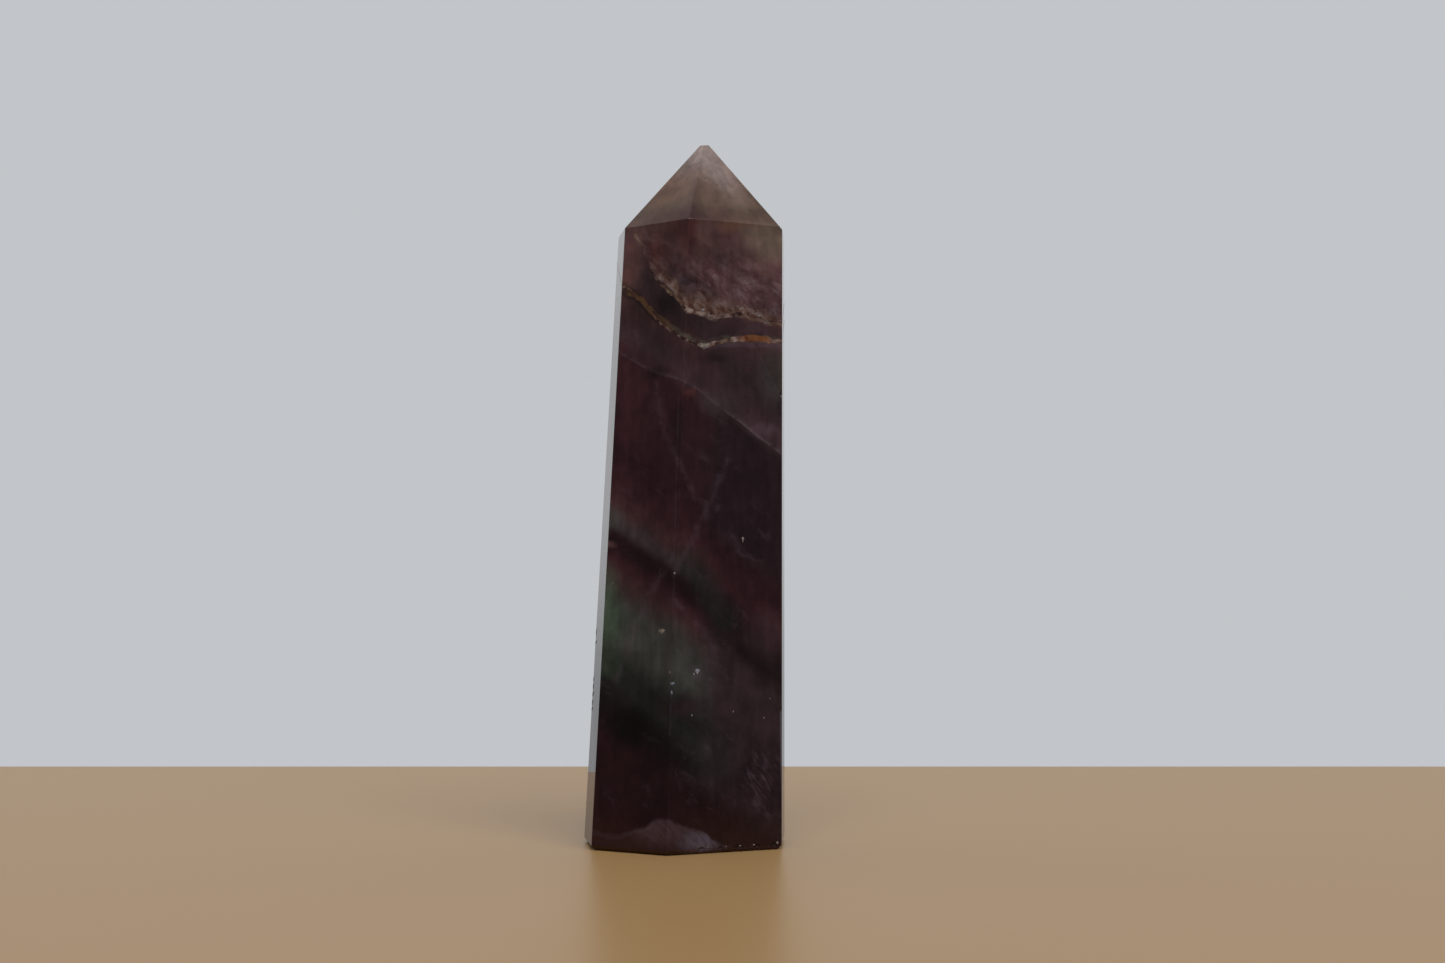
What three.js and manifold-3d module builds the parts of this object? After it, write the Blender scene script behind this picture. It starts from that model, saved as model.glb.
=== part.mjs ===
// A polished fluorite point: one crystal, ground to a leaning, tapering six-sided column with a
// six-faced tip, standing on a flat foot. Millimetres, +Z up. The origin is in the middle of the
// foot, on the surface that the crystal stands on.
//
// Every face of such a point is ground flat on a lap by hand, so the shape is given the same way:
// as the plane of each face. The corners are where three planes meet, and the arrises between the
// faces are then softened, as polishing leaves them.

import * as THREE from "three";
import { ConvexGeometry } from "three/addons/geometries/ConvexGeometry.js";
import { mergeVertices } from "three/addons/utils/BufferGeometryUtils.js";
import Module from "manifold-3d";

// Driving dimensions.
const HEIGHT = 80; // foot to blunted tip
const APEX = new THREE.Vector3(2.4, 0.6, 80.6); // where the six tip faces would meet if sharp
const TIP_BLUNT_TILT = 7; // degrees that the little worn flat on the tip leans

// The six sides. turn: compass angle of the face's outward direction, in degrees from +X.
// offset: distance of the face from the axis at the foot. lean: how far it leans in towards the
// tip, in degrees. tipTurn and tipSteepness: the same for the tip face above it, whose steepness
// is measured from level.
const SIDES = [
  { turn: 189.1, offset: 10.86, lean: 3.05, tipTurn: 189.1, tipSteepness: 48.9 }, // narrow left
  { turn: 238.4, offset: 10.18, lean: 2.5, tipTurn: 236.8, tipSteepness: 50.7 }, // left front
  { turn: 295.6, offset: 9.18, lean: 0.73, tipTurn: 296.0, tipSteepness: 54.1 }, // right front
  { turn: 356.5, offset: 11.31, lean: -0.1, tipTurn: 356.5, tipSteepness: 50.8 }, // right
  { turn: 61.5, offset: 9.6, lean: 1.4, tipTurn: 61.5, tipSteepness: 60.5 }, // right back
  { turn: 127.0, offset: 8.9, lean: 2.1, tipTurn: 127.0, tipSteepness: 56.4 }, // left back
];

const FOOT_BEVEL = 0.5; // width of the 45 degree bevel round the foot
const ARRIS_RADIUS = 0.16; // softening of every arris
const ARRIS_STEPS = 3; // flats that each softened arris is rounded with

// Small chips along the foot and the arrises: where the chip sits, as the two sides whose arris it
// is on (or one side, for the foot's rim) and how far along, and how long, high and deep it is.
const ARRIS_CHIPS = [
  { arris: [2, 3], height: 50.7, long: 0.9, deep: 0.22 },
  { arris: [2, 3], height: 15.5, long: 0.8, deep: 0.2 },
  { arris: [5, 0], height: 23.2, long: 0.7, deep: 0.2 },
  { arris: [5, 0], height: 19.4, long: 1.0, deep: 0.26 },
  { arris: [5, 0], height: 16.3, long: 1.3, deep: 0.24 },
];
const FOOT_CHIPS = [
  { side: 2, along: 0.3, long: 0.9, deep: 0.26 },
  { side: 2, along: 0.46, long: 0.7, deep: 0.22 },
  { side: 2, along: 0.62, long: 1.2, deep: 0.3 },
  { side: 2, along: 0.78, long: 0.8, deep: 0.24 },
  { side: 2, along: 0.93, long: 1.0, deep: 0.32 },
];

const COLOUR = 0x3a2a2c; // dark wine-brown body
const ROUGHNESS = 0.08;

const degrees = THREE.MathUtils.degToRad;

// A plane as its outward unit normal and its signed distance from the origin.
function facePlane(normal, point) {
  return { normal, distance: normal.dot(point) };
}

// The outward normal of a face that looks towards a compass angle and is tipped up by some angle.
function outward(turn, up) {
  const level = Math.cos(up);
  return new THREE.Vector3(Math.cos(turn) * level, Math.sin(turn) * level, Math.sin(up));
}

function sidePlane({ turn, offset, lean }) {
  const foot = outward(degrees(turn), 0).multiplyScalar(offset);
  return facePlane(outward(degrees(turn), degrees(lean)), foot);
}

function tipPlane({ tipTurn, tipSteepness }) {
  return facePlane(outward(degrees(tipTurn), degrees(90 - tipSteepness)), APEX);
}

// The bevel goes through a line FOOT_BEVEL above the foot on the side face, 45 degrees down and in.
function bevelPlane({ turn, offset }) {
  const rim = outward(degrees(turn), 0).multiplyScalar(offset);
  rim.z = FOOT_BEVEL;
  return facePlane(outward(degrees(turn), degrees(-45)), rim);
}

function bluntPlane() {
  const normal = outward(degrees(240), degrees(90 - TIP_BLUNT_TILT));
  return facePlane(normal, new THREE.Vector3(APEX.x, APEX.y, HEIGHT));
}

function meetingPoint(a, b, c) {
  const bc = new THREE.Vector3().crossVectors(b.normal, c.normal);
  const ca = new THREE.Vector3().crossVectors(c.normal, a.normal);
  const ab = new THREE.Vector3().crossVectors(a.normal, b.normal);
  const size = a.normal.dot(bc);
  if (Math.abs(size) < 1e-6) return null;
  return bc
    .multiplyScalar(a.distance)
    .addScaledVector(ca, b.distance)
    .addScaledVector(ab, c.distance)
    .divideScalar(size);
}

// Every corner of the body inside all the planes, with the planes that meet there.
function corners(planes) {
  const found = [];
  for (let i = 0; i < planes.length; i += 1) {
    for (let j = i + 1; j < planes.length; j += 1) {
      for (let k = j + 1; k < planes.length; k += 1) {
        const trio = [planes[i], planes[j], planes[k]];
        const point = meetingPoint(...trio);
        if (!point) continue;
        const inside = planes.every((p) => p.normal.dot(point) < p.distance + 1e-6);
        if (inside) found.push({ point, trio });
      }
    }
  }
  return found;
}

// Points on the softened corner: each face's own touching point, and the steps of the rounding
// between each two faces. The corner ball's centre is one arris radius inside all three faces.
function softCorner({ trio }) {
  const inset = trio.map(({ normal, distance }) => ({ normal, distance: distance - ARRIS_RADIUS }));
  const centre = meetingPoint(...inset);
  const directions = trio.map(({ normal }) => normal);
  for (let i = 0; i < 3; i += 1) {
    const from = trio[i].normal;
    const to = trio[(i + 1) % 3].normal;
    for (let step = 1; step < ARRIS_STEPS; step += 1) {
      directions.push(from.clone().lerp(to, step / ARRIS_STEPS).normalize());
    }
  }
  return directions.map((d) => centre.clone().addScaledVector(d, ARRIS_RADIUS));
}

function polishedColumn() {
  const planes = [
    facePlane(new THREE.Vector3(0, 0, -1), new THREE.Vector3()),
    ...SIDES.map(sidePlane),
    ...SIDES.map(bevelPlane),
    ...SIDES.map(tipPlane),
    bluntPlane(),
  ];
  return new ConvexGeometry(corners(planes).flatMap(softCorner));
}

// A chip is scooped out by a flattened ball laid along the arris.
function chipScoop(at, along, long, deep) {
  const scoop = new THREE.IcosahedronGeometry(1, 1);
  scoop.scale(deep * 1.4, deep, long / 2);
  const turned = new THREE.Quaternion().setFromUnitVectors(new THREE.Vector3(0, 0, 1), along);
  return scoop.applyQuaternion(turned).translate(at.x, at.y, at.z);
}

function arrisChips() {
  return ARRIS_CHIPS.map(({ arris, height, long, deep }) => {
    const [a, b] = arris.map((side) => sidePlane(SIDES[side]));
    const level = facePlane(new THREE.Vector3(0, 0, 1), new THREE.Vector3(0, 0, height));
    const at = meetingPoint(a, b, level);
    const along = new THREE.Vector3().crossVectors(a.normal, b.normal).normalize();
    return chipScoop(at, along, long, deep);
  });
}

// Chips along the rim where the bevel meets the side face; along runs from 0 to 1 over the side.
function footChips() {
  return FOOT_CHIPS.map(({ side, along, long, deep }) => {
    const rim = facePlane(new THREE.Vector3(0, 0, 1), new THREE.Vector3(0, 0, FOOT_BEVEL));
    const [before, here, after] = [side - 1, side, side + 1].map((s) => sidePlane(SIDES[s]));
    const start = meetingPoint(before, here, rim);
    const end = meetingPoint(here, after, rim);
    const line = new THREE.Vector3().subVectors(end, start).normalize();
    return chipScoop(start.lerp(end, along), line, long, deep);
  });
}

const wasm = await Module();
wasm.setup();

function toSolid(geometry) {
  const bare = geometry.clone();
  bare.deleteAttribute("normal");
  bare.deleteAttribute("uv");
  const merged = mergeVertices(bare, 1e-4);
  const vertProperties = merged.attributes.position.array;
  const triVerts = new Uint32Array(merged.index.array);
  return new wasm.Manifold(new wasm.Mesh({ numProp: 3, vertProperties, triVerts }));
}

function toGeometry(solid) {
  const mesh = solid.getMesh();
  const geometry = new THREE.BufferGeometry();
  geometry.setAttribute("position", new THREE.BufferAttribute(mesh.vertProperties, 3));
  geometry.setIndex(new THREE.BufferAttribute(mesh.triVerts, 1));
  return geometry;
}

function chippedPoint() {
  const chips = [...arrisChips(), ...footChips()].map(toSolid);
  const body = chips.reduce((rest, chip) => rest.subtract(chip), toSolid(polishedColumn()));
  const geometry = toGeometry(body);
  geometry.computeBoundingBox();
  const middle = geometry.boundingBox.getCenter(new THREE.Vector3());
  return geometry.translate(-middle.x, -middle.y, -geometry.boundingBox.min.z);
}

const fluorite = new THREE.MeshStandardMaterial({
  color: COLOUR,
  roughness: ROUGHNESS,
  metalness: 0,
  flatShading: true,
});

const point = new THREE.Mesh(chippedPoint(), fluorite);
point.name = "fluorite_point";

const root = new THREE.Group();
root.add(point);

export default root;
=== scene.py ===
# %% [markdown]
# # A rainbow fluorite point
# A fluorite point is one crystal, sawn and ground to a six-sided tower and polished. What makes it
# worth looking at is inside: colour zones that the crystal laid down as it grew, thin mineral veins,
# healed cracks like smoke, and tiny flecks. This lesson keeps the shape that the frame gives and
# builds those looks, from the camera to the smallest chip.
#
# Blender works in metres. Places and sizes below are in millimetres, and MM turns them into metres.

import math
import random
from itertools import combinations

import bmesh
import bpy
from mathutils import Matrix, Vector, noise


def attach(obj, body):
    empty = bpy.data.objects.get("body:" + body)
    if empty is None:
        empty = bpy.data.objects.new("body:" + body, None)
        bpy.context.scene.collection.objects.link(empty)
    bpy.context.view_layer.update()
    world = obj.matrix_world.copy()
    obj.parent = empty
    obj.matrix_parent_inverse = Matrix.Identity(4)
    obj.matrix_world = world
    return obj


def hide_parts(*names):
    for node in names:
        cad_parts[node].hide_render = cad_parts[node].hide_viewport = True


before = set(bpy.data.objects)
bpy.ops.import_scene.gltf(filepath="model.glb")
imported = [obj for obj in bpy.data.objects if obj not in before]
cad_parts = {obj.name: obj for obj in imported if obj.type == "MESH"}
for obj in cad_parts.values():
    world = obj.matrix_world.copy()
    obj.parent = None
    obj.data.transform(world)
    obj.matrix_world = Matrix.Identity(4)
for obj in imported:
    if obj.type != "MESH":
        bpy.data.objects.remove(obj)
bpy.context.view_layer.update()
MM = 0.001

# %% [markdown]
# ## The camera
# A small thing looks natural when the lens is close to it and near the table, looking slightly up.
# Nearer by, with a wide lens, the column would taper too much, and further off, with a long one, it
# would look flat. So this is a normal lens about a quarter of a metre away. Shift and depth of field
# stay off.

# %% place the camera
EYE = Vector((4.33, -238.9, 29.2)) * MM
PITCH_UP = 2.86
LENS = 52.14
FILM_WIDTH = 36.0
NEAREST_SEEN = 5.0

camera_data = bpy.data.cameras.new("camera")
camera_data.lens = LENS
camera_data.sensor_width = FILM_WIDTH
camera_data.clip_start = NEAREST_SEEN * MM
camera = bpy.data.objects.new("camera", camera_data)
camera.location = EYE
camera.rotation_euler = (math.radians(90 + PITCH_UP), 0, 0)
bpy.context.scene.collection.objects.link(camera)
bpy.context.scene.camera = camera
bpy.context.scene.view_settings.view_transform = "Standard"
print("camera", round(EYE.length / MM), "mm from the middle of the foot")


# %% [markdown]
# ## Short names for nodes
# Every finish below is a small recipe of shader nodes. Writing each node out in full hides the
# recipe, so a helper class gives them short names: noise, fade, ramp, mix and so on. A value can be
# a number, a colour or another node's output, and each method returns an output for the next step.

# %% a recipe of nodes
class Recipe:
    """Short names for the shader nodes that the recipes below are built from."""

    def __init__(self, tree):
        self.nodes = tree.nodes
        self.links = tree.links

    def put(self, socket, value):
        """Links an output to a socket, or sets the socket to a plain value."""
        if isinstance(value, bpy.types.NodeSocket):
            self.links.new(value, socket)
        else:
            socket.default_value = value

    def make(self, kind, *values, **settings):
        """A new node with these settings; the values go to its sockets in order, None skips one."""
        node = self.nodes.new(kind)
        for key, value in settings.items():
            setattr(node, key, value)
        for socket, value in zip(node.inputs, values):
            if value is not None:
                self.put(socket, value)
        return node

    def math(self, operation, a, b=None, clamp=False):
        """One step of arithmetic with numbers."""
        return self.make("ShaderNodeMath", a, b, operation=operation, use_clamp=clamp).outputs[0]

    def times(self, a, b):
        """The product of two numbers; of two shares it is the share that lies in both."""
        return self.math("MULTIPLY", a, b)

    def vec(self, operation, a, b=None):
        """One step of arithmetic with vectors."""
        node = self.make("ShaderNodeVectorMath", a, b, operation=operation)
        return node.outputs["Value" if operation in ("DOT_PRODUCT", "LENGTH") else "Vector"]

    def scaled(self, vector, factor):
        """A vector made longer or shorter."""
        node = self.make("ShaderNodeVectorMath", vector, None, None, factor, operation="SCALE")
        return node.outputs["Vector"]

    def place_mm(self):
        """The place in the object, in mm."""
        place = self.nodes.new("ShaderNodeTexCoord").outputs["Object"]
        return self.vec("MULTIPLY", place, (1 / MM, 1 / MM, 1 / MM))

    def split(self, vector):
        """The X, Y and Z outputs of a vector, by name."""
        return self.make("ShaderNodeSeparateXYZ", vector).outputs

    def noise(self, where, scale, detail=2.0, rough=0.5, warp=0.0, output="Fac"):
        """A number that wanders round 0.5 from place to place; a larger scale gives smaller clouds."""
        node = self.nodes.new("ShaderNodeTexNoise")
        for name, value in (("Vector", where), ("Scale", scale), ("Detail", detail)):
            self.put(node.inputs[name], value)
        node.inputs["Roughness"].default_value = rough
        node.inputs["Distortion"].default_value = warp
        return node.outputs[output]

    def fade(self, value, low, high, to_low=0.0, to_high=1.0):
        """Goes smoothly from to_low to to_high while the value goes from low to high."""
        node = self.nodes.new("ShaderNodeMapRange")
        node.interpolation_type = "SMOOTHSTEP"
        names = ("Value", "From Min", "From Max", "To Min", "To Max")
        for name, given in zip(names, (value, low, high, to_low, to_high)):
            self.put(node.inputs[name], given)
        return node.outputs["Result"]

    def ramp(self, value, stops):
        """The colour of a value, blended between (value, colour) stops."""
        node = self.nodes.new("ShaderNodeValToRGB")
        elements = node.color_ramp.elements
        while len(elements) < len(stops):
            elements.new(0.5)
        for element, (at, colour) in zip(elements, stops):
            element.position = at
            element.color = colour
        self.put(node.inputs[0], value)
        return node.outputs[0]

    def mix(self, share, a, b):
        """Colour a where the share is 0, colour b where it is 1."""
        node = self.nodes.new("ShaderNodeMix")
        node.data_type = "RGBA"
        # The node has sockets for every data type: 6, 7 and output 2 are the ones for colours.
        for index, given in ((0, share), (6, a), (7, b)):
            self.put(node.inputs[index], given)
        return node.outputs[2]


# %% [markdown]
# ## Marks in the stone
# What is in the stone comes down to a few kinds of mark: an egg-shaped blob, a band between two
# heights, a stroke, a thread of strokes, and a smooth curve to measure heights from. Each mark is a
# share from 0 to 1, for the next mix. They are given in space and not on the faces, so a mark runs
# round an arris without a seam. A drift moves the places first, so that nothing looks ruled.

# %% marks for the recipes
class StoneRecipe(Recipe):
    """A recipe that can also mark places in the stone, given in mm."""

    def drift(self, where, scale, size, detail=2.0, rough=0.5):
        """Moves a place by up to about half of size, in a direction that wanders with the place."""
        wander = self.noise(where, scale, detail, rough, output="Color")
        centred = self.vec("SUBTRACT", wander, (0.5, 0.5, 0.5))
        return self.vec("ADD", where, self.vec("MULTIPLY", centred, (size, size, size)))

    def blob(self, where, middle, radii, soft):
        """1 in the middle of an egg-shaped patch; soft is the share of it that fades to 0."""
        away = self.vec("SUBTRACT", where, middle)
        reach = self.vec("LENGTH", self.vec("DIVIDE", away, radii))
        return self.fade(reach, 1.0, 1.0 - soft)

    def band(self, value, middle, half, soft):
        """1 within half of the middle value, fading to 0 over soft on either side."""
        away = self.math("ABSOLUTE", self.math("SUBTRACT", value, middle))
        return self.fade(away, half + soft, half)

    def profile(self, value, points):
        """The height of a smooth curve through (value, height) points."""
        first, last = points[0][0], points[-1][0]
        low = min(high for _, high in points)
        rise = max(high for _, high in points) - low
        node = self.nodes.new("ShaderNodeFloatCurve")
        curve = node.mapping.curves[0]
        while len(curve.points) < len(points):
            curve.points.new(0.5, 0.5)
        for point, (at, high) in zip(curve.points, points):
            point.location = ((at - first) / (last - first), (high - low) / rise)
        node.mapping.update()
        along = self.math("DIVIDE", self.math("SUBTRACT", value, first), last - first, clamp=True)
        self.put(node.inputs["Value"], along)
        return self.math("ADD", self.times(node.outputs[0], rise), low)

    def stroke(self, where, start, end, half, soft):
        """1 on the straight line from start to end, fading to 0 beside it."""
        run = Vector(end) - Vector(start)
        from_start = self.vec("SUBTRACT", where, start)
        reach = self.vec("DOT_PRODUCT", from_start, tuple(run))
        share = self.math("DIVIDE", reach, run.length_squared, clamp=True)
        aside = self.vec("SUBTRACT", from_start, self.scaled(tuple(run), share))
        return self.fade(self.vec("LENGTH", aside), half + soft, half)

    def thread(self, where, points, half, soft):
        """1 on a crooked line through the points, fading to 0 beside it."""
        mark = 0.0
        for start, end in zip(points, points[1:]):
            mark = self.math("MAXIMUM", self.stroke(where, start, end, half, soft), mark)
        return mark


# %% [markdown]
# ## Colours and materials
# Colours are easiest to choose as screen values, from 0 to 255. Shaders count light instead, so a
# helper converts them. Another starts each material with one all-round shader and its output.

# %% colours and materials
def screen(red, green, blue):
    """A colour given as 0 to 255 screen values, turned into the linear values that shaders use."""

    def linear(value):
        value = value / 255
        return value / 12.92 if value <= 0.04045 else ((value + 0.055) / 1.055) ** 2.4

    return (linear(red), linear(green), linear(blue), 1.0)


def new_material(name):
    """A material, its recipe, its main shader and its output node."""
    material = bpy.data.materials.new(name)
    material.use_nodes = True
    recipe = StoneRecipe(material.node_tree)
    recipe.nodes.clear()
    output = recipe.nodes.new("ShaderNodeOutputMaterial")
    surface = recipe.nodes.new("ShaderNodeBsdfPrincipled")
    recipe.links.new(surface.outputs[0], output.inputs["Surface"])
    return material, recipe, surface, output


# %% [markdown]
# ## The studio
# A polished crystal shows its surroundings twice: mirrored in its faces and bent through its body.
# Lamps would show in it as hard spots, so the studio is a soft dome made by nodes. It is bright
# behind the crystal, where it shines through, and dim in front, where it would veil the dark faces.
# One broad soft window hangs high in front, for a gentle light on the tip, and a little light comes
# from above. What the camera sees directly is a plain pale wall.

# %% light the studio
WALL_SEEN = screen(194, 197, 201)
DOME_TINT = (0.965, 0.98, 1.01, 1.0)
DIM_ROOM = 0.05
WALL_GLOW = 0.5
WINDOW_GLOW = 3.2
CEILING_GLOW = 0.15

world = bpy.data.worlds.new("studio")
bpy.context.scene.world = world
world.use_nodes = True
sky = Recipe(world.node_tree)
sky.nodes.clear()
towards = sky.nodes.new("ShaderNodeTexCoord").outputs["Generated"]


def soft_light(direction, start, full, strength):
    """Light from round about one direction; start and full are cosines of the angle to it."""
    facing = sky.vec("DOT_PRODUCT", towards, tuple(Vector(direction).normalized()))
    return sky.fade(facing, start, full, 0.0, strength)


height = sky.split(towards)["Z"]
wall = soft_light((0, 1, 0.05), -0.1, 0.5, WALL_GLOW)
above_table = sky.fade(height, -0.05, 0.05, 0.6, 1.0)
below_ceiling = sky.fade(height, 0.35, 0.75, 1.0, 0.25)
lights = [
    sky.times(wall, sky.times(above_table, below_ceiling)),
    soft_light((0.15, -0.7, 0.75), 0.82, 0.97, WINDOW_GLOW),
    soft_light((-0.2, 0.1, 1), 0.1, 1.0, CEILING_GLOW),
]
dome = DIM_ROOM
for light in lights:
    dome = sky.math("ADD", light, dome)
cast = sky.make("ShaderNodeBackground", DOME_TINT, dome)
seen = sky.make("ShaderNodeBackground", WALL_SEEN, 1.0)
to_camera = sky.nodes.new("ShaderNodeLightPath").outputs["Is Camera Ray"]
both = sky.make("ShaderNodeMixShader", to_camera, cast.outputs[0], seen.outputs[0])
sky.make("ShaderNodeOutputWorld", both.outputs[0])
print("the dome has", len(lights), "soft lights")

# %% [markdown]
# ## The floor
# The crystal stands on a plain pale board with a satin finish, which gives it a soft contact
# shadow and a faint reflection. It ends a hand's width behind, so that the crystal's lower part is
# seen against the board and the rest against the wall. The crystal's faces mirror the board too, and
# a pale one in front would veil the dark zones. So the light path tells the two apart: the camera
# sees the pale shade, and mirrors get a darker one in front of the crystal than behind it.

# %% lay the board
BOARD = (1000.0, 184.0, 20.0)
BOARD_BEHIND = 104.0
BOARD_EDGE = 2.0
BOARD_ROUGHNESS = 0.35
BOARD_GLOSS = 0.18
DARK_UP_TO = -62.0
BOARD_SEEN = screen(192, 153, 102)
MIRRORED_IN_FRONT = screen(52, 40, 32)
MIRRORED_BEHIND = screen(160, 118, 66)

bm = bmesh.new()
bmesh.ops.create_cube(bm, size=1)
bmesh.ops.scale(bm, vec=Vector(BOARD) * MM, verts=bm.verts)
offset = Vector((0, BOARD_BEHIND - BOARD[1] / 2, -BOARD[2] / 2)) * MM
bmesh.ops.translate(bm, vec=offset, verts=bm.verts)
bmesh.ops.bevel(bm, geom=bm.edges, offset=BOARD_EDGE * MM, segments=3, affect="EDGES")
board_mesh = bpy.data.meshes.new("board")
bm.to_mesh(board_mesh)
bm.free()
board = bpy.data.objects.new("board", board_mesh)
bpy.context.scene.collection.objects.link(board)
board_material, r, surface, _ = new_material("pale satin board")
shown = r.nodes.new("ShaderNodeLightPath").outputs["Is Camera Ray"]
forward = r.split(r.place_mm())["Y"]
mirrored = r.mix(r.fade(forward, DARK_UP_TO, 0.0), MIRRORED_IN_FRONT, MIRRORED_BEHIND)
r.put(surface.inputs["Base Color"], r.mix(shown, mirrored, BOARD_SEEN))
surface.inputs["Roughness"].default_value = BOARD_ROUGHNESS
surface.inputs["Specular IOR Level"].default_value = BOARD_GLOSS
board_mesh.materials.append(board_material)
print("board", BOARD[0], "x", BOARD[1], "mm")

# %% [markdown]
# ## The crystal's planes
# Everything sealed in the crystal has to stay inside it, so the first thing to know is where its
# faces are. They could be typed in, but then they would be wrong as soon as the frame changed. So
# they are read from the frame: its triangles are sorted by the plane that they lie in, and a plane
# with enough area is a face. What is left over are the soft arrises and the chips.

# %% read the faces
SAME_DIRECTION = 0.9999
SAME_DISTANCE = 0.02
LEAST_AREA = 1.5
LOOKS_FORWARDS = -0.3

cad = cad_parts["fluorite_point"]


def read_planes(mesh):
    """The (outward normal, distance in mm) of each large flat face."""
    found = []
    for face in mesh.polygons:
        distance = face.normal.dot(face.center) / MM
        for plane in found:
            if plane[0].dot(face.normal) > SAME_DIRECTION and abs(plane[1] - distance) < SAME_DISTANCE:
                plane[2] += face.area / MM**2
                break
        else:
            found.append([face.normal.copy(), distance, face.area / MM**2])
    return [(normal, distance) for normal, distance, area in found if area > LEAST_AREA]


PLANES = read_planes(cad.data)
FRONT = [(n, d) for n, d in PLANES if n.y < LOOKS_FORWARDS]
print(len(PLANES), "flat faces,", len(FRONT), "of them look forwards")


def depth_inside(point):
    """How far inside the nearest face a point in mm is; below 0 it is outside."""
    return min(distance - normal.dot(point) for normal, distance in PLANES)


def on_front(x, z):
    """The point in mm where the front faces are at this x and z."""
    y = max((d - n.x * x - n.z * z) / n.y for n, d in FRONT)
    return (x, y, z)


# %% [markdown]
# ## The body
# The body keeps the frame's exact shape, because a new one could only differ from it. Its triangles
# are merged to one skin and shaded smoothly, with a Weighted Normal modifier, so that the flat faces
# stay flat and only the softened arrises catch a line of light. Flat shading would be simpler, but
# then each arris would show as a row of narrow strips.

# %% skin the crystal
MERGE_WITHIN = 0.002


def mesh_object(name, bm):
    """A new object with what was built in bm."""
    mesh = bpy.data.meshes.new(name)
    bm.to_mesh(mesh)
    bm.free()
    made = bpy.data.objects.new(name, mesh)
    bpy.context.scene.collection.objects.link(made)
    return made


bm = bmesh.new()
bm.from_mesh(cad.data)
bmesh.ops.remove_doubles(bm, verts=bm.verts, dist=MERGE_WITHIN * MM)
crystal = mesh_object("crystal", bm)
for face in crystal.data.polygons:
    face.use_smooth = True
flat_faces = crystal.modifiers.new("keep faces flat", "WEIGHTED_NORMAL")
flat_faces.weight = 100
print("crystal has", len(crystal.data.polygons), "faces")

# %% [markdown]
# ## The colours of the crystal
# Rainbow fluorite takes its colours from traces that changed while it grew, so one stone goes from
# near black through wine and green to mauve and a warm, almost clear top. These are the colours of
# the material itself: in the finished stone each looks darker, because light has to come out again
# through the polish. They get names here, so that the recipes below read like notes on the stone.

# %% name the shades
SHADES = {
    "near black": screen(16, 8, 9),
    "dark wine": screen(46, 23, 26),
    "wine": screen(58, 31, 36),
    "red wine": screen(74, 40, 45),
    "rosewood": screen(84, 54, 55),
    "plum": screen(52, 35, 40),
    "dusty plum": screen(68, 50, 54),
    "deep plum": screen(34, 23, 25),
    "umber": screen(42, 28, 30),
    "black green": screen(42, 42, 38),
    "sea green": screen(84, 102, 80),
    "grey green": screen(84, 84, 77),
    "smoke": screen(80, 68, 68),
    "dusk": screen(100, 77, 82),
    "mauve": screen(86, 62, 66),
    "lilac": screen(120, 98, 110),
    "slate": screen(110, 99, 111),
    "old rose": screen(124, 86, 87),
    "rose haze": screen(160, 118, 119),
    "garnet": screen(90, 48, 51),
    "clay": screen(150, 104, 98),
    "bronze": screen(168, 116, 78),
    "rust": screen(128, 66, 58),
    "pale olive": screen(164, 142, 124),
    "beige": screen(150, 118, 102),
    "cream": screen(208, 180, 158),
}
print(len(SHADES), "shades")

# %% [markdown]
# ## Colour zones
# The zones are flat layers, parallel to the face that the crystal grew on. One number is enough to
# find the layer of any point: its distance along the growth direction. A colour ramp then turns
# that number into a colour. Painting each face would be another way, but this one fills the solid,
# so every face of the finished stone shows the same layers, each cut at its own angle.
#
# The left of the stone took up more green than the right, so there are two ramps and a soft change
# from one to the other. A slow drift makes the layers wavy, and a finer one frays their edges.

# %% stack the layers
GROWTH = Vector((0.57, 0.06, 0.82)).normalized()
LOWEST, HIGHEST = -8.0, 70.0
LAYERS_LEFT = [
    (-4, "dark wine"), (5, "dark wine"), (8, "deep plum"), (10.5, "black green"),
    (12.2, "black green"), (15.2, "grey green"), (17.5, "grey green"), (20.3, "rosewood"),
    (21.6, "red wine"), (22.8, "dark wine"), (23.9, "dark wine"), (25.0, "smoke"),
    (26.5, "rosewood"), (28.5, "red wine"), (31.5, "wine"), (36, "red wine"), (41, "red wine"),
    (42.6, "mauve"), (46, "rosewood"), (49, "mauve"), (53, "old rose"), (58, "beige"),
]
LAYERS_RIGHT = [
    (-2, "dark wine"), (5, "dark wine"), (8, "plum"), (12, "plum"), (16, "dusty plum"),
    (19.5, "dusty plum"), (21.3, "umber"), (23.3, "plum"), (26, "red wine"), (28.5, "wine"),
    (31, "plum"), (34.5, "plum"), (37, "plum"), (41.5, "plum"), (42.8, "mauve"),
    (46.5, "dusty plum"), (49, "mauve"), (53.5, "old rose"), (56.5, "mauve"), (59, "old rose"),
    (62, "beige"), (67, "cream"),
]


def layers(height, stops):
    """The colour of the layer at a height along the growth direction."""
    span = HIGHEST - LOWEST
    places = [((at - LOWEST) / span, SHADES[name]) for at, name in stops]
    return r.ramp(r.math("DIVIDE", r.math("SUBTRACT", height, LOWEST), span), places)


fluorite, r, surface, output = new_material("fluorite")
p = r.place_mm()
calm = r.drift(p, 0.13, 1.4, 1.5)
frayed = r.drift(calm, 0.9, 0.8, 3.0, 0.6)
parts = r.split(frayed)
x, z = parts["X"], parts["Z"]
height = r.vec("DOT_PRODUCT", frayed, tuple(GROWTH))
rightwards = r.fade(x, 0.5, 4.5)
tint = r.mix(rightwards, layers(height, LAYERS_LEFT), layers(height, LAYERS_RIGHT))
print(len(LAYERS_LEFT), "layers on the left and", len(LAYERS_RIGHT), "on the right")

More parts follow.
